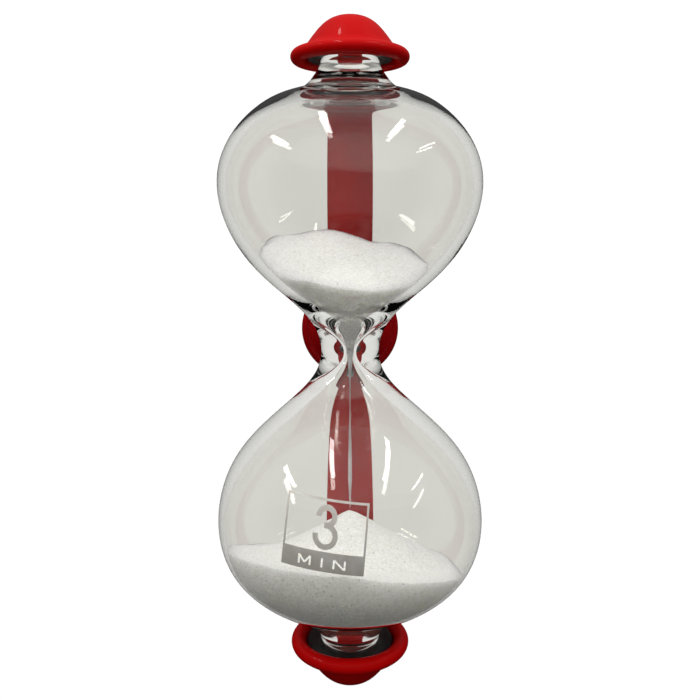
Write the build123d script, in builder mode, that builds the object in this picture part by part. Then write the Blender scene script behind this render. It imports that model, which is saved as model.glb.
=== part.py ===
from build123d import *
import os

# Wall-hung egg timer: a blown glass vessel held between two red caps on the ends of a
# C-shaped steel strip, which turns on a pivot in the middle of a red wall rosette.
# Millimetres. The wall is the plane y = 0, the pivot runs along Y through the origin,
# Z is up and the timer's front looks along -Y.

os.makedirs("parts", exist_ok=True)

# ---- driving dimensions --------------------------------------------------------------
GLASS_Y = -48.2          # the vessel's own axis, in front of the wall
STRIP_FRONT = -14.0      # front face of the strip, 34.2 mm behind the vessel's axis
STRIP_T = 1.2            # strip thickness
STRIP_W = 14.0           # strip width
ARM_LOW = 77.1           # inner face of each arm, above or below the pivot
BEND = 8.0               # inside radius of the two bends
LIP_LEVEL = 74.3         # middle of each cap's rolled lip
LIP_R, LIP_ROLL = 13.2, 1.8
HAT_APEX = 10.5          # apex of the dome above the middle of the lip
HAT_WALL = 1.6
STUB_R = 7.6             # glass stubs at the two ends of the vessel
STUB_END = 75.8
STUB_CORNER = 3.5
BORE_R = 1.05            # the hole the sand runs through
ORIFICE = 1.2            # its height
SEAT_GAP = 0.05          # running clearance between a stub and its seat
ARM_SCREW_R = 1.25
PIVOT_R = 3.0            # shoulder of the pivot screw
PIVOT_THREAD_R = 2.0
PIVOT_CLEAR = 0.05
ROSETTE_FLAT = -11.7     # flattened apex of the rosette, under the friction washer
BOSS_END = -10.7         # end of the wall plate's boss, where the shoulder lands
WALL_HOLE_R, WALL_HOLE_X = 1.75, 7.5
SAND_GAP = 0.12          # between the sand and the inside of the glass

# outside of the vessel from the upper shoulder to the lower one: radius, height
OUTER_UP = [(12.3, 66.3), (19.24, 64.01), (25.28, 59.82), (29.94, 54.2), (32.7, 47.61),
            (33.15, 40.53), (31.47, 33.43), (28.13, 26.77), (23.6, 21.02),
            (18.32, 16.07), (12.75, 11.13), (10.8, 9.04), (9.18, 6.78), (8.02, 4.31),
            (7.42, 1.67), (7.4, -1.01)]
OUTER_LOW = [(7.4, -1.01), (8, -3.57), (9.2, -5.94), (10.86, -8.14), (12.82, -10.2),
             (14.93, -12.17), (20.28, -16.97), (25.27, -21.89), (29.41, -27.4),
             (32.18, -33.85), (33.3, -40.91), (32.54, -47.89), (29.7, -54.14),
             (24.81, -59.14), (18.68, -62.95), (12.3, -65.7)]
# inside of the upper bulb from its roof down to the bore, and of the lower one
INNER_UP = [(0, 64.7), (7.58, 64.2), (15.13, 62.88), (21.97, 59.53), (27.37, 54.16),
            (30.64, 47.36), (31.14, 39.86), (28.98, 32.47), (24.98, 25.94),
            (19.84, 20.36), (14.08, 15.43), (8.22, 10.78), (6.39, 9.25), (4.6, 7.55),
            (2.97, 5.64), (1.72, 3.51), (1.09, 1.17)]
INNER_LOW = [(1.09, 1.17), (1.21, -1.2), (2, -3.41), (3.26, -5.46), (4.79, -7.38),
             (6.43, -9.19), (12.1, -14.5), (17.98, -19.56), (23.5, -24.92),
             (28.06, -31.07), (30.96, -38.29), (31.3, -46.1), (28.8, -53.4),
             (24.1, -58.5), (17.9, -62.1), (9.3, -64.2), (0, -64.8)]

BACK = Plane.XZ.offset(-GLASS_Y)          # upright plane through the vessel's axis
GLASS_AXIS = Axis((0, GLASS_Y, 0), (0, 0, 1))


def shifted(points, by):
    """The points of a profile moved by a distance across it, to its left going along."""
    moved = []
    for i, (r, z) in enumerate(points):
        r0, z0 = points[max(i - 1, 0)]
        r1, z1 = points[min(i + 1, len(points) - 1)]
        along = ((r1 - r0) ** 2 + (z1 - z0) ** 2) ** 0.5
        moved.append((r - (z1 - z0) / along * by, z + (r1 - r0) / along * by))
    return moved


def stub(sign, r_corner):
    """Outline of one glass stub from the bulb's shoulder to the middle of its end."""
    s = sign
    Spline((r_corner[0], r_corner[1]), (10.4, s * 68.0), (8.9, s * 70.0), (8.05, s * 71.3),
           (STUB_R, s * (STUB_END - STUB_CORNER)))
    RadiusArc((STUB_R, s * (STUB_END - STUB_CORNER)), (STUB_R - STUB_CORNER, s * STUB_END),
              s * -STUB_CORNER)
    Line((STUB_R - STUB_CORNER, s * STUB_END), (0, s * STUB_END))


def hat():
    """Outline of the red hat's half section: radius, height above the middle of its lip."""
    Spline((0, HAT_APEX), (2.4, 10.27), (4.7, 9.55), (7.1, 7.9), (8.8, 6.0),
           (10.0, 4.4), (11.2, 2.8), (12.75, 1.74))
    Line((12.75, 1.74), (LIP_R, 0))
    Line((LIP_R, 0), (LIP_R - LIP_ROLL, 0))
    Spline((LIP_R - LIP_ROLL, 0), (10.5, 1.4), (9.4, 2.8), (8.4, 4.2), (7.2, 5.6),
           (5.7, 7.1), (3.9, 8.2), (2.0, 8.77), (0, HAT_APEX - HAT_WALL))
    Line((0, HAT_APEX - HAT_WALL), (0, HAT_APEX))


# ---- wall side -----------------------------------------------------------------------
# pressed steel disc screwed to the wall, with the boss the pivot screw goes into
with BuildPart() as wall_plate:
    with BuildSketch(Plane.XZ):
        Circle(10.9)
    extrude(amount=1.5)
    with BuildSketch(Plane.XZ.offset(1.5)):
        Circle(3.5)
    extrude(amount=-BOSS_END - 1.5)
    with BuildSketch(Plane.XZ.offset(2.0)):
        Circle(PIVOT_THREAD_R)
    extrude(amount=12, mode=Mode.SUBTRACT)
    for x in (-WALL_HOLE_X, WALL_HOLE_X):
        with BuildSketch(Plane.XZ):
            with Locations((x, 0)):
                Circle(WALL_HOLE_R)
        extrude(amount=2, mode=Mode.SUBTRACT)
        with BuildSketch(Plane.XZ.offset(1.5)):
            with Locations((x, 0)):
                Circle(2.75)
        extrude(amount=-1.0, taper=45, mode=Mode.SUBTRACT)
    fillet(wall_plate.edges().filter_by(GeomType.CIRCLE).group_by(Axis.Y)[0]
           .sort_by(SortBy.RADIUS)[-1:], 0.4)
wall_plate.part.label = "wall_plate"

# the same red hat as the caps, its dome flattened where the friction washer bears
with BuildPart() as wall_rosette:
    with BuildSketch(Plane(origin=(0, -LIP_ROLL, 0), x_dir=(1, 0, 0), z_dir=(0, 0, -1))):
        with BuildLine():
            hat()
        make_face()
        with Locations((LIP_R, 0)):
            Circle(LIP_ROLL)
    revolve(axis=Axis.Y)
    with BuildSketch(Plane.XZ.offset(-ROSETTE_FLAT)):
        Circle(8)
    extrude(amount=4, mode=Mode.SUBTRACT)
    with BuildSketch(Plane.XZ.offset(5)):
        Circle(3.7)
    extrude(amount=-BOSS_END - 5, mode=Mode.SUBTRACT)
    with BuildSketch(Plane.XZ.offset(5)):
        Circle(PIVOT_R)
    extrude(amount=12, mode=Mode.SUBTRACT)
wall_rosette.part.label = "wall_rosette"

# fibre washer the strip turns against
with BuildPart() as friction_washer:
    with BuildSketch(Plane.XZ.offset(-ROSETTE_FLAT)):
        Circle(6.5)
        Circle(PIVOT_R + 0.02, mode=Mode.SUBTRACT)
    extrude(amount=-(STRIP_FRONT + STRIP_T) + ROSETTE_FLAT)
friction_washer.part.label = "friction_washer"

# coned spring washer that keeps the strip pressed back
with BuildPart() as spring_washer:
    with BuildSketch(Plane.XY):
        with BuildLine():
            Polyline((3.05, -14.8), (3.5, -14.8), (5.6, -14.4), (5.6, -14.0), (5.2, -14.0),
                     (3.05, -14.4), (3.05, -14.8))
        make_face()
    revolve(axis=Axis.Y)
spring_washer.part.label = "spring_washer"

# shouldered screw: slotted domed head, plain shoulder the strip turns on, thread
with BuildPart() as pivot_screw:
    with BuildSketch(Plane.XY):
        with BuildLine():
            Polyline((0, BOSS_END + 7.5), (PIVOT_THREAD_R - 0.4, BOSS_END + 7.5),
                     (PIVOT_THREAD_R, BOSS_END + 7.1), (PIVOT_THREAD_R, BOSS_END),
                     (PIVOT_R, BOSS_END), (PIVOT_R, -14.8), (5.0, -14.8), (5.0, -15.3))
            ThreePointArc((5.0, -15.3), (3.0, -16.2), (0, -16.5))
            Line((0, -16.5), (0, BOSS_END + 7.5))
        make_face()
    revolve(axis=Axis.Y)
    with BuildSketch(Plane.XZ.offset(17)):
        Rectangle(12, 1.0)
    extrude(amount=-1.3, mode=Mode.SUBTRACT)
pivot_screw.part.label = "pivot_screw"

# ---- bracket -------------------------------------------------------------------------
# one strip bent to a C, round-ended arms reaching forward to the vessel's axis
with BuildPart() as bracket_strip:
    back = STRIP_FRONT + STRIP_T
    with BuildSketch(Plane.YZ) as side:
        with BuildLine():
            FilletPolyline((GLASS_Y, ARM_LOW), (STRIP_FRONT, ARM_LOW),
                           (STRIP_FRONT, -ARM_LOW), (GLASS_Y, -ARM_LOW), radius=BEND)
            Line((GLASS_Y, -ARM_LOW), (GLASS_Y, -ARM_LOW - STRIP_T))
            FilletPolyline((GLASS_Y, -ARM_LOW - STRIP_T), (back, -ARM_LOW - STRIP_T),
                           (back, ARM_LOW + STRIP_T), (GLASS_Y, ARM_LOW + STRIP_T),
                           radius=BEND + STRIP_T)
            Line((GLASS_Y, ARM_LOW + STRIP_T), (GLASS_Y, ARM_LOW))
        make_face()
    extrude(amount=STRIP_W / 2, both=True)
    for level in (ARM_LOW, -ARM_LOW - STRIP_T):
        with BuildSketch(Plane.XY.offset(level)):
            with Locations((0, GLASS_Y)):
                Circle(STRIP_W / 2)
        extrude(amount=STRIP_T)
        with BuildSketch(Plane.XY.offset(level - 1)):
            with Locations((0, GLASS_Y)):
                Circle(ARM_SCREW_R)
        extrude(amount=STRIP_T + 2, mode=Mode.SUBTRACT)
    with BuildSketch(Plane.XZ.offset(-back - 1)):
        Circle(PIVOT_R + PIVOT_CLEAR)
    extrude(amount=STRIP_T + 2, mode=Mode.SUBTRACT)
bracket_strip.part.label = "bracket_strip"


# the red hat over the top arm: slot at the back for the arm, screw boss under the dome
with BuildPart() as top_cap:
    with BuildSketch(Plane(origin=(0, GLASS_Y, LIP_LEVEL), z_dir=(0, -1, 0), x_dir=(1, 0, 0))):
        with BuildLine():
            hat()
        make_face()
        with Locations((LIP_R, 0)):
            Circle(LIP_ROLL)
    revolve(axis=GLASS_AXIS)
    with BuildSketch(Plane.XY.offset(ARM_LOW + STRIP_T)):
        with Locations((0, GLASS_Y)):
            Circle(3.2)
    extrude(amount=5.4)
    with BuildSketch(Plane.XY.offset(ARM_LOW + STRIP_T)):
        with Locations((0, GLASS_Y)):
            Circle(ARM_SCREW_R)
    extrude(amount=3.4, mode=Mode.SUBTRACT)
    with BuildSketch(Plane.XY.offset(ARM_LOW - 0.15)):
        with Locations((0, GLASS_Y + 11)):
            Rectangle(STRIP_W + 0.4, 15)
    extrude(amount=STRIP_T + 0.3, mode=Mode.SUBTRACT)
top_cap.part.label = "top_cap"

with BuildPart() as bottom_cap:
    mirror(top_cap.part, about=Plane.XY)
bottom_cap.part.label = "bottom_cap"

# black rubber seat: fills the cap's mouth and takes the glass stub in a round recess
with BuildPart() as top_seat:
    floor = STUB_END + SEAT_GAP
    corner = STUB_END - STUB_CORNER
    bend = STUB_CORNER + SEAT_GAP
    inner = STUB_R - STUB_CORNER
    mouth = (inner + (bend ** 2 - (73.9 - corner) ** 2) ** 0.5, 73.9)
    with BuildSketch(BACK):
        with BuildLine():
            Polyline((inner, floor), (3.0, floor), (3.0, ARM_LOW), (9.0, ARM_LOW),
                     (10.65, 75.0), (10.9, 74.1), (10.4, 73.6), (8.6, 73.6), mouth)
            ThreePointArc(mouth, (inner + bend * 0.7071, corner + bend * 0.7071),
                          (inner, floor))
        make_face()
    revolve(axis=GLASS_AXIS)
top_seat.part.label = "top_seat"

with BuildPart() as bottom_seat:
    mirror(top_seat.part, about=Plane.XY)
bottom_seat.part.label = "bottom_seat"

# screw that clamps the cap to its arm, driven from the vessel's side
with BuildPart() as top_cap_screw:
    with BuildSketch(BACK):
        with BuildLine():
            Polyline((0, ARM_LOW - 0.8), (2.2, ARM_LOW - 0.8), (2.7, ARM_LOW - 0.4),
                     (2.7, ARM_LOW), (ARM_SCREW_R, ARM_LOW), (ARM_SCREW_R, ARM_LOW + 4.2),
                     (0, ARM_LOW + 4.2), (0, ARM_LOW - 0.8))
        make_face()
    revolve(axis=GLASS_AXIS)
top_cap_screw.part.label = "top_cap_screw"

with BuildPart() as bottom_cap_screw:
    mirror(top_cap_screw.part, about=Plane.XY)
bottom_cap_screw.part.label = "bottom_cap_screw"

# ---- vessel and what it holds ----------------------------------------------------------
# blown in one piece: two bulbs, a thick clear waist with the bore, a solid stub each end
with BuildPart() as glass_vessel:
    with BuildSketch(BACK):
        with BuildLine():
            stub(1, OUTER_UP[0])
            Line((0, STUB_END), (0, -STUB_END))
            Spline(*OUTER_UP, *OUTER_LOW[1:])
            stub(-1, OUTER_LOW[-1])
        make_face()
    revolve(axis=GLASS_AXIS)
    with BuildSketch(BACK):
        with BuildLine():
            Spline(*INNER_UP)
            Line(INNER_UP[-1], INNER_LOW[1])
            Spline(*INNER_LOW[1:])
            Line((0, INNER_LOW[-1][1]), (0, INNER_UP[0][1]))
        make_face()
    revolve(axis=GLASS_AXIS, mode=Mode.SUBTRACT)
glass_vessel.part.label = "glass_vessel"

UP_SAND = [(0.0, INNER_UP[0][1] - 0.3)] + shifted(INNER_UP, -SAND_GAP)[1:-1]
LOW_MIDDLE = -42.2          # height of the lower bulb's widest ring
LOW_SAND = [(r * 0.9955, LOW_MIDDLE + (z - LOW_MIDDLE) * 0.9955) for r, z in INNER_LOW]

# sand still to run: a bank filling the foot of the upper bulb, higher at the back left
with BuildPart() as sand_upper:
    with BuildSketch(BACK):
        with BuildLine():
            Spline(*UP_SAND, (BORE_R - SAND_GAP, ORIFICE))
            Line((BORE_R - SAND_GAP, ORIFICE), (0, ORIFICE))
            Line((0, ORIFICE), UP_SAND[0])
        make_face()
    revolve(axis=GLASS_AXIS)
    with BuildSketch(Plane(origin=(0, GLASS_Y, 22.3), z_dir=(0.096, -0.228, 1))):
        Rectangle(120, 120)
    extrude(amount=80, mode=Mode.SUBTRACT)
sand_upper.part.label = "sand_upper"

# the falling thread of sand, from the bore to the heap
HEAP_TOP = -39.2
with BuildPart() as sand_stream:
    with BuildSketch(Plane.XY.offset(ORIFICE)):
        with Locations((0, GLASS_Y)):
            Circle(0.42)
    extrude(amount=HEAP_TOP - ORIFICE)
sand_stream.part.label = "sand_stream"

# sand already through: a cone at its angle of repose on an older bank, low at the back
with BuildPart() as sand_lower:
    with BuildSketch(Plane(origin=(0, GLASS_Y, -52.6), z_dir=(0.113, 0.257, 1))):
        Rectangle(110, 110)
    extrude(amount=-40)
    with BuildSketch(Plane.XZ.offset(-GLASS_Y)):
        with BuildLine():
            Polyline((0, HEAP_TOP), (0.8, HEAP_TOP), (33.8, HEAP_TOP - 33.0 * 0.62),
                     (0, HEAP_TOP - 33.0 * 0.62), (0, HEAP_TOP))
        make_face()
    revolve(axis=GLASS_AXIS)
    with BuildSketch(BACK):
        with BuildLine():
            Spline(*LOW_SAND)
            Line(LOW_SAND[-1], (0, LOW_SAND[0][1]))
            Line((0, LOW_SAND[0][1]), LOW_SAND[0])
        make_face()
    revolve(axis=GLASS_AXIS, mode=Mode.INTERSECT)
sand_lower.part.label = "sand_lower"

# silver print fired on the lower bulb: a square frame over a band lettered MIN, and a 3
PRINT_T = 0.1
PRINT_OFF = 0.012        # keeps the print's back just clear of the glass
PRINT_PLACE = Plane(origin=(-5.4, GLASS_Y - 40, -35.1), x_dir=(0.9954, 0, -0.0958),
                    z_dir=(0, -1, 0))
PRINT_W, PRINT_H, PRINT_LINE, BAND_H = 18.1, 14.8, 0.45, 3.85
LETTERS = -(PRINT_H - BAND_H) / 2         # height of the middle of the lettering
PRINT_SIDE = Plane(origin=(0, GLASS_Y, 0), x_dir=(-1, -1, 0), z_dir=(-1, 1, 0))


def print_skin():
    """Outline of a thin skin on the outside of the lower bulb."""
    inside = [(r + PRINT_OFF, z) for r, z in OUTER_LOW[5:13]]
    outside = [(r + PRINT_T, z) for r, z in inside]
    Spline(*inside)
    Line(inside[-1], outside[-1])
    Spline(*outside)
    Line(outside[0], inside[0])


with BuildPart() as duration_frame:
    with BuildSketch(PRINT_SIDE):
        with BuildLine():
            print_skin()
        make_face()
    revolve(axis=GLASS_AXIS, revolution_arc=90)
    with BuildSketch(PRINT_PLACE):
        Rectangle(PRINT_W, PRINT_H)
        with Locations((0, BAND_H / 2)):
            Rectangle(PRINT_W - 2 * PRINT_LINE, PRINT_H - BAND_H - 2 * PRINT_LINE,
                      mode=Mode.SUBTRACT)
        for x in (-5.2, -2.8, -0.2, 2.4, 4.8):
            with Locations((x, LETTERS)):
                Rectangle(0.42, 2.0, mode=Mode.SUBTRACT)
        for x, up, lean, size in ((-4.6, 0.25, 38.7, 1.9), (-3.4, 0.25, -38.7, 1.9),
                                  (3.6, 0, 50, 2.9)):
            with Locations(Location((x, LETTERS + up, 0), (0, 0, lean))):
                Rectangle(0.42, size, mode=Mode.SUBTRACT)
    extrude(amount=-36, mode=Mode.INTERSECT)
duration_frame.part.label = "duration_frame"

with BuildPart() as duration_numeral:
    with BuildSketch(PRINT_SIDE):
        with BuildLine():
            print_skin()
        make_face()
    revolve(axis=GLASS_AXIS, revolution_arc=90)
    with BuildSketch(PRINT_PLACE):
        for y, r in ((4.0, 2.3), (0.1, 2.75)):
            with Locations((0, y)):
                Circle(r)
        for y, r in ((4.0, 1.15), (0.1, 1.6)):
            with Locations((0, y)):
                Circle(r, mode=Mode.SUBTRACT)
        with Locations((-2.0, 2.2)):
            Rectangle(3.2, 3.4, mode=Mode.SUBTRACT)
    extrude(amount=-36, mode=Mode.INTERSECT)
duration_numeral.part.label = "duration_numeral"

export_step(wall_plate.part, "parts/wall_plate.step")
export_step(wall_rosette.part, "parts/wall_rosette.step")
export_step(friction_washer.part, "parts/friction_washer.step")
export_step(spring_washer.part, "parts/spring_washer.step")
export_step(pivot_screw.part, "parts/pivot_screw.step")
export_step(bracket_strip.part, "parts/bracket_strip.step")
export_step(top_cap.part, "parts/top_cap.step")
export_step(bottom_cap.part, "parts/bottom_cap.step")
export_step(top_seat.part, "parts/top_seat.step")
export_step(bottom_seat.part, "parts/bottom_seat.step")
export_step(top_cap_screw.part, "parts/top_cap_screw.step")
export_step(bottom_cap_screw.part, "parts/bottom_cap_screw.step")
export_step(glass_vessel.part, "parts/glass_vessel.step")
export_step(sand_upper.part, "parts/sand_upper.step")
export_step(sand_stream.part, "parts/sand_stream.step")
export_step(sand_lower.part, "parts/sand_lower.step")
export_step(duration_frame.part, "parts/duration_frame.step")
export_step(duration_numeral.part, "parts/duration_numeral.step")
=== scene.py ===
import math
import random

import bpy
import numpy as np
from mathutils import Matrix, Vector, noise


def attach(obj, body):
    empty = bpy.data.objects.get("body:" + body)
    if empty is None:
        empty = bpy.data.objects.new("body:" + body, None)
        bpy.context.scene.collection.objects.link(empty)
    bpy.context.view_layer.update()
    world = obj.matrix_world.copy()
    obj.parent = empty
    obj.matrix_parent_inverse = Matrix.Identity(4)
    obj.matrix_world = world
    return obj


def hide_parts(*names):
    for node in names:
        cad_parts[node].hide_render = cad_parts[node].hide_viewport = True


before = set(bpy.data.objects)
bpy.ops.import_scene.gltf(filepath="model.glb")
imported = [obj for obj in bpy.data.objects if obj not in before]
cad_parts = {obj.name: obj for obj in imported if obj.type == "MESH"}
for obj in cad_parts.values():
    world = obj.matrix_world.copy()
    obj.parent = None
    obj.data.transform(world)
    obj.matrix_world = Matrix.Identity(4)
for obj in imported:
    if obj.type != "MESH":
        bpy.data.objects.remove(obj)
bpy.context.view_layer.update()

# ---- the studio ------------------------------------------------------------------------
# The timer hangs free in front of a white sweep. A camera close in front of it looks
# slightly down; the light is a soft ceiling with four strip lamps that run front to back.
GLASS_Y = -0.0482                       # m, the vessel's own axis, in front of the wall
CAMERA_BACK = 0.2532                    # m from the wall to the lens
CAMERA_UP = 0.033                       # m above the waist
CAMERA_PITCH = 88                       # degrees; 90 is level

bpy.ops.object.select_all(action="DESELECT")
bpy.ops.object.camera_add(location=(0, -CAMERA_BACK, CAMERA_UP),
                          rotation=(math.radians(CAMERA_PITCH), 0, 0))
camera = bpy.context.object
camera.name = "front_camera"
camera.data.sensor_width = 36
camera.data.lens = 41.63
camera.data.shift_y = -0.1426
camera.data.clip_start, camera.data.clip_end = 0.01, 30
bpy.context.scene.camera = camera
bpy.context.scene.view_settings.view_transform = "Standard"

# nested glass walls need long paths
paths = bpy.context.scene.cycles
paths.transparent_max_bounces = 24
paths.max_bounces = paths.transmission_bounces = 20
paths.glossy_bounces = 8


class Wire:
    """A node's output. Arithmetic on wires adds Math nodes; node() adds any other node."""

    def __init__(self, tree, socket=None):
        self.tree, self.socket = tree, socket

    def node(self, kind, settings=(), values=(), out=0):
        made = self.tree.nodes.new("ShaderNode" + kind)
        for key, value in dict(settings).items():
            if key != "stops":
                setattr(made, key, value)
                continue
            band = made.color_ramp.elements
            while len(band) < len(value):
                band.new(0.5)
            for stop, (place, colour) in zip(band, value):
                stop.position = place
                stop.color = (*colour, 1)
        for key, value in dict(values).items():
            if isinstance(value, Wire):
                self.tree.links.new(value.socket, made.inputs[key])
            else:
                made.inputs[key].default_value = value
        return Wire(self.tree, made.outputs[out])

    def maths(self, operation, a, b=0.0):
        return self.node("Math", {"operation": operation}, {0: a, 1: b})

    def other(self, name):
        return Wire(self.tree, self.socket.node.outputs[name])

    def __add__(self, b): return self.maths("ADD", self, b)
    def __radd__(self, a): return self.maths("ADD", a, self)
    def __sub__(self, b): return self.maths("SUBTRACT", self, b)
    def __rsub__(self, a): return self.maths("SUBTRACT", a, self)
    def __mul__(self, b): return self.maths("MULTIPLY", self, b)
    def __rmul__(self, a): return self.maths("MULTIPLY", a, self)
    def above(self, b): return self.maths("GREATER_THAN", self, b)
    def clear(self): return self.maths("MAXIMUM", self.maths("MINIMUM", self, 1.0), 0.0)

    def noise(self, scale, detail=3.0, rough=0.5, at=None):
        return self.node("TexNoise", {}, {"Vector": at or self.place(), "Scale": scale,
                                          "Detail": detail, "Roughness": rough})

    def place(self):
        return self.node("TexCoord").other("Object")

    def stretched(self, by, turn=(0, 0, 0), centre=(0, 0, 0)):
        """Object coordinates stretched along their axes about a centre."""
        moved = self.node("VectorMath", {"operation": "SUBTRACT"}, {0: self.place(), 1: centre})
        return self.node("Mapping", {}, {"Vector": moved, "Rotation": turn, "Scale": by})

    def mix(self, amount, a, b, way="MIX"):
        return self.node("Mix", {"data_type": "RGBA", "blend_type": way},
                         {0: amount, 6: a, 7: b}, out=2)

    def bump(self, height, depth, strength=1.0):
        return self.node("Bump", {}, {"Height": height, "Distance": depth,
                                      "Strength": strength})


def new_finish(name):
    """A new material with only its output node, and a wire to build it with."""
    made = bpy.data.materials.new(name)
    made.use_nodes = True
    made.node_tree.nodes.clear()
    made.node_tree.nodes.new("ShaderNodeOutputMaterial")
    return made, Wire(made.node_tree)


def show(made, shader):
    """Connects a shader to the material's or the world's output."""
    tree = made.node_tree
    output = next(n for n in tree.nodes if "OUTPUT" in n.type)
    tree.links.new(shader.socket, output.inputs["Surface"])


def coat_node(name, finish):
    """Gives a CAD node its finish."""
    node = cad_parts[name]
    for place in node.material_slots:
        place.material = finish
    if not node.material_slots:
        node.data.materials.append(finish)


# The room: a bright ceiling, a dimmer front and a dark lower half for matt surfaces, a
# faint copy of it for gloss, and a white sweep, darker towards the lens, through glass.
room = bpy.data.worlds.new("white_room")
room.use_nodes = True
room.node_tree.nodes.clear()
room.node_tree.nodes.new("ShaderNodeOutputWorld")
wire = Wire(room.node_tree)
sky = wire.node("SeparateXYZ", {}, {0: wire.node("TexCoord").other("Generated")})
height = sky.other("Z")
facing = (0.0 - sky.other("Y")).clear() * (height * 4.0 + 1.0).clear()
ceiling = wire.node("ValToRGB", {"stops": [
    (0.0, (0.02, 0.02, 0.018)), (0.42, (0.03, 0.03, 0.028)), (0.5, (0.09, 0.09, 0.085)),
    (0.63, (0.20, 0.20, 0.20)), (0.75, (0.54, 0.54, 0.54)), (0.86, (0.76, 0.76, 0.76)),
    (1.0, (1.0, 1.0, 1.0))]}, {0: height * 0.5 + 0.5})
under = wire.node("ValToRGB", {"stops": [
    (0.0, (0.30, 0.30, 0.29)), (0.10, (0.50, 0.50, 0.49)), (0.20, (0.87, 0.87, 0.865)),
    (1.0, (0.87, 0.87, 0.865))]}, {0: height * 0.5 + 0.5})
path = wire.node("LightPath")
open_front = wire.mix(facing * facing * 0.45, ceiling, (1, 1, 1, 1), "ADD")
soft = wire.node("Background", {}, {"Color": open_front, "Strength": 1.25})
shine = wire.node("Background", {}, {"Color": ceiling, "Strength": 0.30})
toward_lens = (0.25 - sky.other("Y") * 2.2).clear()
behind_glass = wire.node("Background", {}, {
    "Color": wire.mix(toward_lens * 0.72, under, (0.10, 0.10, 0.095, 1)), "Strength": 1.0})
white = wire.node("Background", {}, {"Color": (1, 1, 1, 1), "Strength": 1.05})
lit = wire.node("MixShader", {}, {0: path.other("Is Glossy Ray"), 1: soft, 2: shine})
lit = wire.node("MixShader", {}, {0: path.other("Is Transmission Ray"), 1: lit,
                                  2: behind_glass})
show(room, wire.node("MixShader", {}, {0: path.other("Is Camera Ray"), 1: lit, 2: white}))
bpy.context.scene.world = room

CEILING = 1.2                           # m from the waist up to the strip lamps
LAMP_LONG = 0.60 * CEILING
LAMPS = (("left_wall_lamp", -1.10, 0.14, 4.6), ("left_lamp", -0.26, 0.08, 2.7),
         ("right_lamp", 0.56, 0.08, 2.7), ("right_wall_lamp", 1.38, 0.08, 2.7))
for name, across, wide, watts in LAMPS:
    bpy.ops.object.light_add(
        type="AREA", location=(across * CEILING, GLASS_Y - LAMP_LONG / 2, CEILING))
    lamp = bpy.context.object
    lamp.name = name
    lamp.data.shape = "RECTANGLE"
    lamp.data.size, lamp.data.size_y = wide, LAMP_LONG
    lamp.data.energy = watts
    lamp.data.color = (1.0, 0.985, 0.96)

FLOOR = -0.42                           # m, the paper under the timer
bpy.ops.mesh.primitive_grid_add(x_subdivisions=8, y_subdivisions=8, size=6,
                                location=(0, 0, FLOOR))
floor = bpy.context.object
floor.name = "white_floor"
bpy.ops.object.transform_apply(location=True, rotation=True, scale=True)
paper, wire = new_finish("floor_paper")
grain = wire.noise(180.0, 4.0)
show(paper, wire.node("Emission", {}, {"Color": wire.mix(grain, (0.985, 0.985, 0.985, 1),
                                                         (1, 1, 1, 1)), "Strength": 1.03}))
floor.data.materials.append(paper)
floor.visible_diffuse = floor.visible_glossy = False
floor.visible_transmission = floor.visible_shadow = False

# ---- wall fixing -----------------------------------------------------------------------
# A pressed zinc-plated disc is screwed to the wall. Over it sits a red rosette, and a
# slotted shoulder screw holds fibre washer, strip and spring washer to the disc's boss.
zinc, wire = new_finish("zinc_plate")
spangle = wire.node("TexVoronoi", {}, {"Vector": wire.place(), "Scale": 700.0}).other("Color")
patch = wire.noise(260.0, 3.0)
tone = wire.node("SeparateColor", {}, {0: spangle})
stain = wire.noise(90.0, 5.0, 0.6)
show(zinc, wire.node("BsdfPrincipled", {}, {
    "Base Color": wire.mix((stain - 0.45) * 1.6, (0.74, 0.75, 0.76, 1), (0.52, 0.51, 0.49, 1)),
    "Metallic": 0.7, "Roughness": 0.30 + tone * 0.12 + patch * 0.12,
    "Normal": wire.bump(tone * 0.5 + patch, 0.00004, 0.6)}))
coat_node("wall_plate", zinc)


def enamel(name, colour, deep, gloss):
    """Sprayed and stoved gloss enamel: darker in broad random sagged patches, faint orange
    peel.
    """
    made, wire = new_finish(name)
    sag = wire.noise(38.0, 2.0)
    cloud = wire.noise(150.0, 5.0, 0.55)
    peel = wire.noise(620.0, 2.0)
    dust = wire.noise(2600.0, 2.0)
    speck = ((dust - 0.70) * 14.0).clear()
    shade = wire.mix((sag * 1.7 - 0.45).clear(), colour, deep)
    shade = wire.mix(speck * 0.35, shade, (0.30, 0.05, 0.04, 1))
    shine = gloss + cloud * 0.10 + speck * 0.25
    show(made, wire.node("BsdfPrincipled", {}, {
        "Base Color": shade, "Roughness": shine, "IOR": 1.5, "Specular IOR Level": 0.03,
        "Coat Weight": 0.16, "Coat Roughness": 0.03,
        "Normal": wire.bump(peel + speck * 0.6, 0.00005, 0.35)}))
    return made


rosette_red = enamel("rosette_enamel", (0.36, 0.003, 0.005, 1), (0.26, 0.002, 0.004, 1), 0.24)
coat_node("wall_rosette", rosette_red)

fibre, wire = new_finish("vulcanised_fibre")
fleck = wire.noise(3400.0, 4.0, 0.7, wire.stretched((1, 1, 4)))
ring = wire.noise(240.0, 3.0)
show(fibre, wire.node("BsdfPrincipled", {}, {
    "Base Color": wire.mix(fleck * 0.7 + ring * 0.3, (0.24, 0.06, 0.035, 1),
                           (0.42, 0.15, 0.09, 1)),
    "Roughness": 0.62 + fleck * 0.25, "Normal": wire.bump(fleck, 0.00006, 0.7)}))
coat_node("friction_washer", fibre)


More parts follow.
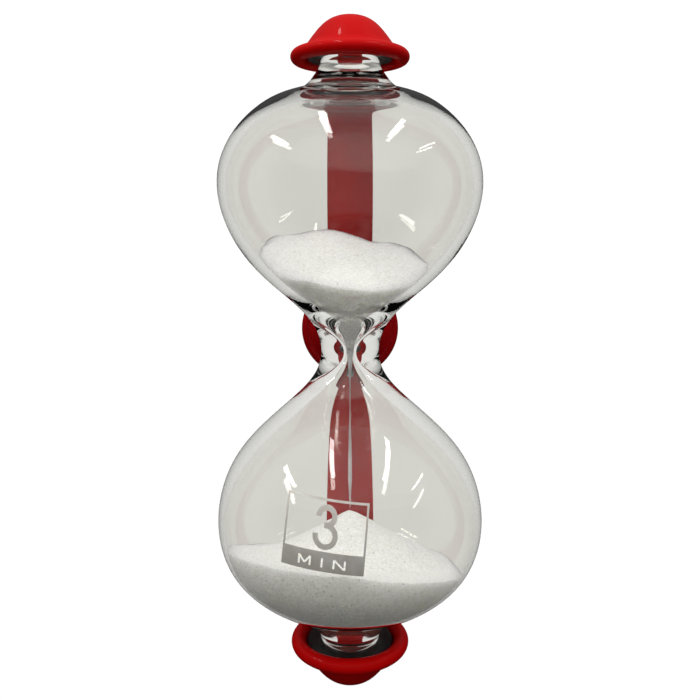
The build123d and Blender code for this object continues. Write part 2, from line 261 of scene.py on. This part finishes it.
def turned_steel(name, centre, along):
    """Bright steel with the fine rings a lathe leaves round an axis, and a few stains."""
    made, wire = new_finish(name)
    flat = tuple(0.0 if a else 1.0 for a in along)
    spot = wire.stretched(flat, centre=centre)
    reach = wire.node("VectorMath", {"operation": "LENGTH"}, {0: spot}, out=1)
    rings = wire.node("TexNoise", {"noise_dimensions": "1D"}, {"W": reach, "Scale": 9000.0,
                                                               "Detail": 3.0})
    stain = wire.noise(420.0, 4.0, 0.6)
    wear = wire.noise(2100.0, 3.0)
    show(made, wire.node("BsdfPrincipled", {}, {
        "Base Color": wire.mix((stain - 0.5).clear() * 1.4, (0.62, 0.62, 0.63, 1),
                               (0.34, 0.29, 0.24, 1)),
        "Metallic": 1.0, "Roughness": 0.20 + rings * 0.14 + stain * 0.12,
        "Normal": wire.bump(rings + wear * 0.4, 0.00002, 0.7)}))
    return made


pivot_steel = turned_steel("pivot_steel", (0, 0, 0), (0, 1, 0))
coat_node("spring_washer", pivot_steel)
coat_node("pivot_screw", pivot_steel)

# ---- bracket strip ---------------------------------------------------------------------
# One flat steel strip, sheared, rounded at its ends, drilled and bent to a C, then dipped
# in the red lacquer. The dip has run a little and rubbed thin where fingers turn it.
lacquer, wire = new_finish("strip_lacquer")
run = wire.noise(55.0, 4.0, 0.5, wire.stretched((1, 1, 0.22)))
cloud = wire.noise(210.0, 4.0, 0.6)
peel = wire.noise(900.0, 2.0, 0.5, wire.stretched((1, 1, 0.5)))
scuff = wire.noise(420.0, 5.0, 0.7, wire.stretched((4, 1, 0.3)))
rubbed = ((scuff - 0.66) * 9.0).clear()
shade = wire.mix((run * 1.8 - 0.5).clear(), (0.52, 0.004, 0.004, 1), (0.34, 0.003, 0.005, 1))
shade = wire.mix((cloud - 0.52).clear() * 1.2, shade, (0.62, 0.012, 0.008, 1))
shade = wire.mix(rubbed * 0.30, shade, (0.22, 0.04, 0.035, 1))
show(lacquer, wire.node("BsdfPrincipled", {}, {
    "Base Color": shade, "Roughness": 0.28 + cloud * 0.16 + rubbed * 0.2, "IOR": 1.5,
    "Specular IOR Level": 0.25,
    "Normal": wire.bump(peel + run * 0.6 - rubbed * 0.4, 0.00006, 0.45)}))
coat_node("bracket_strip", lacquer)

# ---- end caps --------------------------------------------------------------------------
# Spun steel hats with a rolled lip, enamelled bright red inside and out. Each hat hides
# the strip's arm and is clamped to it by a screw from the vessel's side.
cap_red = enamel("cap_enamel", (0.66, 0.002, 0.002, 1), (0.54, 0.001, 0.002, 1), 0.34)
coat_node("top_cap", cap_red)
coat_node("bottom_cap", cap_red)

# black rubber seats moulded to the hats' mouths; each takes one glass stub
rubber, wire = new_finish("seat_rubber")
bloom = wire.noise(300.0, 5.0, 0.6)
pore = wire.noise(2800.0, 3.0)
show(rubber, wire.node("BsdfPrincipled", {}, {
    "Base Color": wire.mix((bloom - 0.4).clear(), (0.004, 0.004, 0.004, 1),
                           (0.016, 0.015, 0.014, 1)),
    "Roughness": 0.42 + bloom * 0.28, "Normal": wire.bump(pore + bloom, 0.00005, 0.6)}))
coat_node("top_seat", rubber)
coat_node("bottom_seat", rubber)

cap_screw_steel = turned_steel("cap_screw_steel", (0, GLASS_Y, 0), (0, 0, 1))
coat_node("top_cap_screw", cap_screw_steel)
coat_node("bottom_cap_screw", cap_screw_steel)

# ---- blown vessel ----------------------------------------------------------------------
# Lampworked from one clear tube: two bulbs, a thick waist with the bore, a stub drawn to
# solid glass at each end. The bulbs ripple faintly from the blowing.
OUTSIDE = ((12.3, 66.3), (19.24, 64.01), (25.28, 59.82), (29.94, 54.2), (32.7, 47.61),
           (33.15, 40.53), (31.47, 33.43), (28.13, 26.77), (23.6, 21.02), (18.32, 16.07),
           (12.75, 11.13), (10.8, 9.04), (9.18, 6.78), (8.02, 4.31), (7.42, 1.67),
           (7.4, -1.01), (8, -3.57), (9.2, -5.94), (10.86, -8.14), (12.82, -10.2),
           (14.93, -12.17), (20.28, -16.97), (25.27, -21.89), (29.41, -27.4),
           (32.18, -33.85), (33.3, -40.91), (32.54, -47.89), (29.7, -54.14),
           (24.81, -59.14), (18.68, -62.95), (12.3, -65.7))
INSIDE = ((0, 64.7), (7.58, 64.2), (15.13, 62.88), (21.97, 59.53), (27.37, 54.16),
          (30.64, 47.36), (31.14, 39.86), (28.98, 32.47), (24.98, 25.94), (19.84, 20.36),
          (14.08, 15.43), (8.22, 10.78), (6.39, 9.25), (4.6, 7.55), (2.97, 5.64),
          (1.72, 3.51), (1.09, 1.17), (1.21, -1.2), (2, -3.41), (3.26, -5.46),
          (4.79, -7.38), (6.43, -9.19), (12.1, -14.5), (17.98, -19.56), (23.5, -24.92),
          (28.06, -31.07), (30.96, -38.29), (31.3, -46.1), (28.8, -53.4),
          (24.1, -58.5), (17.9, -62.1), (9.3, -64.2), (0, -64.8))
STUB_R, STUB_END, STUB_CORNER = 7.6, 75.8, 3.5      # mm
TURNS = 144                             # steps round a spun piece


def flowing(points, per_span):
    """Points along one smooth line through the given ones, its bend never jumping."""
    knots = np.array(points, float)
    t = np.concatenate(([0], np.cumsum(np.hypot(*np.diff(knots, axis=0).T))))
    gap = np.diff(t)
    rows = np.zeros((len(t), len(t)))
    right = np.zeros((len(t), 2))
    rows[0, 0] = rows[-1, -1] = 1
    for i in range(1, len(t) - 1):
        rows[i, i - 1:i + 2] = gap[i - 1], 2 * (gap[i - 1] + gap[i]), gap[i]
        ahead = (knots[i + 1] - knots[i]) / gap[i]
        behind = (knots[i] - knots[i - 1]) / gap[i - 1]
        right[i] = 6 * (ahead - behind)
    pull = np.linalg.solve(rows, right)
    line = [knots[0]]
    for i, span in enumerate(gap):
        for k in range(1, per_span + 1):
            u = k / per_span
            v = 1 - u
            line.append(v * knots[i] + u * knots[i + 1] + span * span / 6
                        * ((v ** 3 - v) * pull[i] + (u ** 3 - u) * pull[i + 1]))
    return [tuple(p) for p in line]


def stub_line(sign):
    """One drawn stub from the bulb's shoulder to the middle of its flat end."""
    shoulder = 66.3 if sign > 0 else 65.7
    line = flowing(((12.3, sign * shoulder), (10.4, sign * 68.0), (8.9, sign * 70.0),
                    (8.05, sign * 71.3), (STUB_R, sign * (STUB_END - STUB_CORNER))), 4)[1:]
    for k in range(1, 9):
        turn = math.radians(90 * k / 8)
        line.append((STUB_R - STUB_CORNER * (1 - math.cos(turn)),
                     sign * (STUB_END - STUB_CORNER * (1 - math.sin(turn)))))
    return line + [(2.0, sign * STUB_END), (0.0, sign * STUB_END)]


def spun(name, line, hollow=False):
    """Extrudes a profile point by point beside the vessel's axis and spins it round."""
    bpy.ops.object.select_all(action="DESELECT")
    bpy.ops.mesh.primitive_plane_add(size=0.001, location=(0, 0, 0))
    made = bpy.context.object
    made.name = made.data.name = name
    bpy.ops.object.mode_set(mode="EDIT")
    bpy.ops.mesh.select_all(action="SELECT")
    bpy.ops.mesh.merge(type="CENTER")
    bpy.ops.transform.translate(value=(line[0][0] / 1000, GLASS_Y, line[0][1] / 1000))
    for (r0, z0), (r1, z1) in zip(line, line[1:]):
        bpy.ops.mesh.extrude_region_move(
            TRANSFORM_OT_translate={"value": ((r1 - r0) / 1000, 0, (z1 - z0) / 1000)})
    bpy.ops.mesh.select_all(action="SELECT")
    bpy.ops.mesh.spin(steps=TURNS, angle=2 * math.pi, center=(0, GLASS_Y, 0), axis=(0, 0, 1))
    bpy.ops.mesh.select_all(action="SELECT")
    bpy.ops.mesh.remove_doubles(threshold=2e-6)
    bpy.ops.mesh.normals_make_consistent(inside=hollow)
    bpy.ops.object.mode_set(mode="OBJECT")
    bpy.ops.object.shade_smooth()
    return made


vessel = spun("blown_vessel", stub_line(1)[::-1] + flowing(OUTSIDE, 5) + stub_line(-1))
cavity = spun("cavity", flowing(INSIDE, 5), hollow=True)
bpy.ops.object.select_all(action="DESELECT")
cavity.select_set(True)
vessel.select_set(True)
bpy.context.view_layer.objects.active = vessel
bpy.ops.object.join()

glass, wire = new_finish("clear_blown_glass")
ripple = wire.noise(46.0, 2.0, 0.45, wire.stretched((1, 1, 0.55)))
film = wire.noise(70.0, 5.0, 0.6)
body = wire.node("BsdfPrincipled", {}, {
    "Base Color": wire.mix(film, (0.86, 0.86, 0.825, 1), (0.92, 0.915, 0.885, 1)),
    "Roughness": (film - 0.55).clear() * 0.06, "IOR": 1.5, "Transmission Weight": 1.0,
    "Normal": wire.bump(ripple, 0.0006, 0.12)})
through = wire.node("BsdfTransparent", {}, {"Color": (1, 1, 1, 1)})
path = wire.node("LightPath")
lit = wire.node("MixShader", {}, {0: path.other("Is Shadow Ray"), 1: body, 2: through})
show(glass, wire.node("MixShader", {}, {0: path.other("Is Diffuse Ray"), 1: lit, 2: through}))
vessel.data.materials.append(glass)
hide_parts("glass_vessel")
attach(vessel, "glass")

# ---- sand ------------------------------------------------------------------------------
# Washed white quartz sand, about a third of a millimetre, still running: a bank above,
# a thread through the bore, and a fresh cone on the bank below.
CLEARANCE = 0.13                        # mm of air between the sand and the glass
ORIFICE = 1.2                           # mm above the waist, where the bank above ends
UNDER_BORE = -2.5                       # mm, where the bulb below takes sand


def set_in(line, by):
    """The inside line of the glass moved into the bulb."""
    moved = []
    for i, (r, z) in enumerate(line):
        (r0, z0), (r1, z1) = line[max(i - 1, 0)], line[min(i + 1, len(line) - 1)]
        along = math.hypot(r1 - r0, z1 - z0)
        moved.append((max(r + (z1 - z0) / along * by, 0.0), z - (r1 - r0) / along * by))
    return moved


def bank(name, line, low, high, level):
    """Sand that fills a bulb up to a level that rises and falls over it."""
    fill = spun(name, line)
    bpy.ops.object.select_all(action="DESELECT")
    bpy.ops.mesh.primitive_grid_add(x_subdivisions=150, y_subdivisions=150, size=0.068,
                                    location=(0, GLASS_Y, high / 1000))
    block = bpy.context.object
    bpy.ops.object.transform_apply(location=True, rotation=True, scale=True)
    bpy.ops.object.mode_set(mode="EDIT")
    bpy.ops.mesh.select_all(action="SELECT")
    bpy.ops.mesh.extrude_region_move(
        TRANSFORM_OT_translate={"value": (0, 0, (low - high) / 1000)})
    bpy.ops.mesh.select_all(action="SELECT")
    bpy.ops.mesh.normals_make_consistent(inside=False)
    bpy.ops.object.mode_set(mode="OBJECT")
    for v in block.data.vertices:
        if v.co.z > (high - 0.01) / 1000:
            v.co.z = level(v.co.x * 1000, (v.co.y - GLASS_Y) * 1000) / 1000
    bpy.context.view_layer.objects.active = fill
    cut = fill.modifiers.new("level", "BOOLEAN")
    cut.operation, cut.solver, cut.object = "INTERSECT", "EXACT", block
    bpy.ops.object.modifier_apply(modifier="level")
    bpy.data.objects.remove(block)
    bpy.ops.object.select_all(action="DESELECT")
    fill.select_set(True)
    bpy.context.view_layer.objects.active = fill
    bpy.ops.object.shade_smooth_by_angle(angle=math.radians(50))
    return fill


def waves(x, y, size, seed):
    """Smooth unevenness, from -1 to 1."""
    return noise.noise(Vector((x / size + seed, y / size, seed * 1.7)))


def upper_level(x, y):
    """The bank above: high at the back left, with gentle unevenness."""
    return (22.3 - 0.096 * x + 0.228 * y + 1.3 * waves(x, y, 13, 3) + 0.35 * waves(x, y, 4, 5)
            + 0.10 * waves(x, y, 1.1, 8))


def lower_level(x, y):
    """The heap below: a cone at its angle of rest on an older bank, low at the back."""
    reach = math.hypot(x, y)
    bank_level = -52.6 - 0.113 * x - 0.257 * y + 0.5 * waves(x, y, 12, 2)
    cone = -39.4 - 0.62 * (math.sqrt(reach * reach + 2.2) - 1.2)
    top = max(bank_level, cone)
    soft = 2.2 * math.exp(-abs(bank_level - cone) / 2.2) * 0.35
    return top + soft + 0.22 * waves(x, y, 4, 6) + 0.08 * waves(x, y, 1.1, 9)


inside = set_in(flowing(INSIDE, 5), CLEARANCE)
above = [p for p in inside if p[1] > ORIFICE] + [(0.9, ORIFICE), (0.0, ORIFICE)]
below = [p for p in inside if p[1] < UNDER_BORE]
upper = bank("upper_sand", above, -5, 24, upper_level)
lower = bank("lower_sand", [(0.0, below[0][1])] + below, -70, -45, lower_level)

sand, wire = new_finish("white_quartz_sand")
grain = wire.node("TexVoronoi", {}, {"Vector": wire.place(), "Scale": 2500.0})
each = wire.node("SeparateColor", {}, {0: grain.other("Color")})
pile = wire.noise(700.0, 4.0, 0.65)
drift = wire.noise(120.0, 3.0)
shade = wire.mix(each, (0.78, 0.78, 0.74, 1), (1.0, 1.0, 0.98, 1))
shade = wire.mix((drift - 0.4).clear() * 0.6, shade, (0.92, 0.92, 0.88, 1))
shade = wire.mix(each.above(0.985) * 0.6, shade, (0.40, 0.36, 0.30, 1))
show(sand, wire.node("BsdfPrincipled", {}, {
    "Base Color": shade, "Roughness": 0.62 + each * 0.25, "IOR": 1.5,
    "Subsurface Weight": 1.0, "Subsurface Scale": 0.006, "Subsurface Radius": (1.0, 1.0, 0.9),
    "Normal": wire.bump(pile - grain * 0.5, 0.0004, 0.55)}))

# the running thread: it leaves the bore whole and thins as it falls, with stray grains
thread = spun("running_thread", flowing(((0.0, 1.30), (0.84, 1.20), (0.80, 0.0), (0.62, -2.4),
                                         (0.30, -5.0), (0.16, -9.0), (0.12, -16.0),
                                         (0.11, -38.0), (0.0, -38.9)), 4))
STRAYS, FIRST_STRAY, FALL = 80, -4.0, 34.0      # count; mm; mm
chance = random.Random(41)
strays = []
bpy.ops.object.select_all(action="DESELECT")
for i in range(STRAYS):
    fall = chance.random()
    aside = (0.10 + 0.30 * fall) / 2
    bpy.ops.mesh.primitive_ico_sphere_add(
        subdivisions=1, radius=chance.uniform(0.00007, 0.00014),
        location=(chance.gauss(0, aside) / 1000, GLASS_Y + chance.gauss(0, aside) / 1000,
                  (FIRST_STRAY - FALL * fall) / 1000),
        rotation=(chance.uniform(0, 3), chance.uniform(0, 3), 0))
    strays.append(bpy.context.object)
for stray in strays + [thread]:
    stray.select_set(True)
bpy.context.view_layer.objects.active = thread
bpy.ops.object.join()
for heap, node in ((upper, "sand_upper"), (lower, "sand_lower"),
                   (thread, "sand_stream")):
    heap.data.materials.append(sand)
    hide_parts(node)
    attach(heap, "glass")

# ---- duration print ----------------------------------------------------------------------
# Bright silver fired on the lower bulb: a frame, a band with its letters left clear, and
# the numeral. It is rubbed thin in places.
silver, wire = new_finish("silver_print")
cloud = wire.noise(320.0, 4.0, 0.6)
wear = wire.noise(1500.0, 4.0, 0.7)
show(silver, wire.node("BsdfPrincipled", {}, {
    "Base Color": wire.mix((cloud * 1.6 - 0.4).clear(), (0.95, 0.93, 0.88, 1),
                           (0.66, 0.60, 0.52, 1)),
    "Metallic": 0.45, "Roughness": 0.28 + wear * 0.22,
    "Normal": wire.bump(wear + cloud, 0.00003, 0.5)}))
coat_node("duration_frame", silver)
coat_node("duration_numeral", silver)
